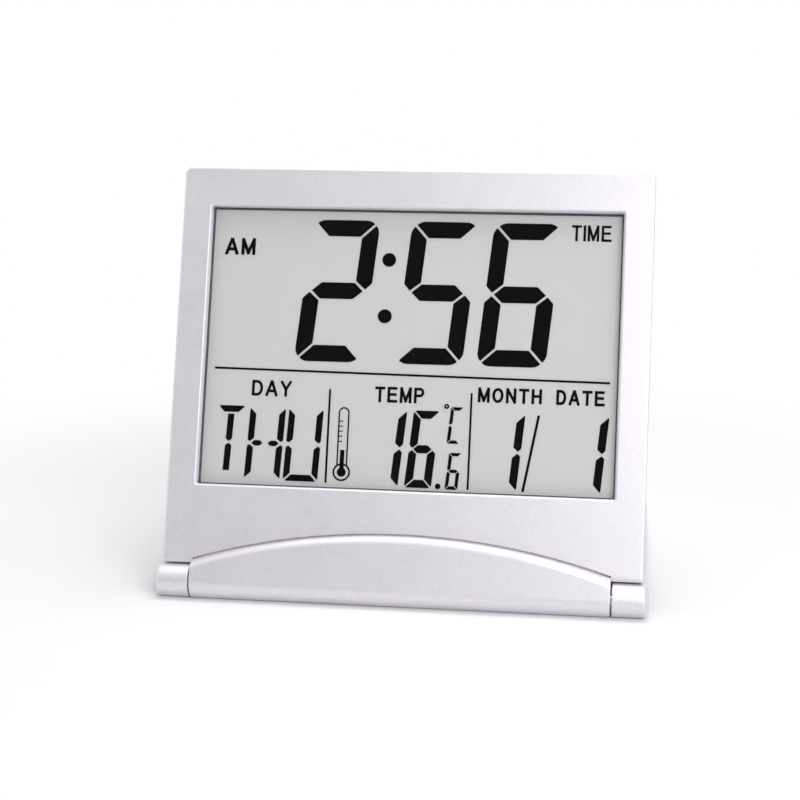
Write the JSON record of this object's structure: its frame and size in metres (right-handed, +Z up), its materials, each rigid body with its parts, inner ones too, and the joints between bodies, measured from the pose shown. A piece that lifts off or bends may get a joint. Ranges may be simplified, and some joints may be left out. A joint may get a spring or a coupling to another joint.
{
  "type": "folding alarm clock",
  "caption": "Thin flip-cover digital alarm clock with a large LCD in a silver bezel, an arched hinge barrel, and a cover that folds back as its stand.",
  "frame": {"origin": "centre of the bounding box on the surface the clock stands on, with the cover folded back as its base", "axes": "+Z up, the display faces -Y and leans back 18 degrees, +X to the viewer's right along the hinge"},
  "size_m": [0.0964, 0.0862, 0.0822],
  "materials": {
    "silver_paint": "silver metallic paint on ABS, fine flake, satin",
    "clear_plastic": "clear acrylic, polished",
    "black_foam": "matt black foam tape",
    "display_glass": "thin float glass",
    "polariser_film": "grey polarising film",
    "white_plastic": "white moulded plastic",
    "board_green": "green solder mask",
    "black_resin": "black epoxy or insulation",
    "steel": "plated steel",
    "brass": "thin sheet brass",
    "grey_rubber": "layered conductive silicone",
    "grey_button": "grey moulded plastic",
    "red_wire": "red insulation"
  },
  "bodies": {
    "case": {"front_housing": "silver_paint", "rear_housing": "silver_paint", "hinge_pin_left": "steel", "hinge_pin_right": "steel", "display_window": "clear_plastic", "display_gasket": "black_foam", "lcd_front_polariser": "polariser_film", "lcd_rear_polariser": "polariser_film", "lcd_front_glass": "display_glass", "lcd_rear_glass": "display_glass", "lcd_bracket": "white_plastic", "main_board": "board_green", "zebra_strip": "grey_rubber", "chip_blob": "black_resin", "quartz_crystal": "steel", "supply_capacitor": "white_plastic", "filter_capacitor": "white_plastic", "thermistor": "black_resin", "piezo_disc": "brass", "piezo_ceramic": "white_plastic", "piezo_wire_red": "red_wire", "piezo_wire_black": "black_resin", "coin_cell": "steel", "battery_contact_negative": "steel", "battery_contact_positive": "steel", "mode_switch": "steel", "set_switch": "steel", "up_switch": "steel", "down_switch": "steel", "case_screw_1": "steel", "board_screw_1": "steel", "case_screw_2": "steel", "board_screw_2": "steel", "case_screw_3": "steel", "board_screw_3": "steel", "case_screw_4": "steel", "board_screw_4": "steel"},
    "cover": {"flip_cover": "silver_paint"},
    "door": {"battery_door": "silver_paint"},
    "mode_key": {"mode_button": "grey_button", "mode_stem": "black_resin"},
    "set_key": {"set_button": "grey_button", "set_stem": "black_resin"},
    "up_key": {"up_button": "grey_button", "up_stem": "black_resin"},
    "down_key": {"down_button": "grey_button", "down_stem": "black_resin"}
  },
  "joints": [
    {"name": "cover_hinge", "type": "hinge", "parent": "case", "child": "cover", "pos_m": [0, -0.03989, 0.00315], "axis": [-1, 0, 0], "range_deg": [0, 284.96]},
    {"name": "mode_press", "type": "slide", "parent": "case", "child": "mode_key", "axis": [0, -0.9511, 0.309], "range_m": [0, 0.0004], "stiffness_N_per_m": 1500, "springref_m": -0.0001},
    {"name": "set_press", "type": "slide", "parent": "case", "child": "set_key", "axis": [0, -0.9511, 0.309], "range_m": [0, 0.0004], "stiffness_N_per_m": 1500, "springref_m": -0.0001},
    {"name": "up_press", "type": "slide", "parent": "case", "child": "up_key", "axis": [0, -0.9511, 0.309], "range_m": [0, 0.0004], "stiffness_N_per_m": 1500, "springref_m": -0.0001},
    {"name": "down_press", "type": "slide", "parent": "case", "child": "down_key", "axis": [0, -0.9511, 0.309], "range_m": [0, 0.0004], "stiffness_N_per_m": 1500, "springref_m": -0.0001},
    {"name": "door_pull", "type": "slide", "parent": "case", "child": "door", "axis": [0, 0.9511, -0.309], "range_m": [0, 0.012]}
  ]
}
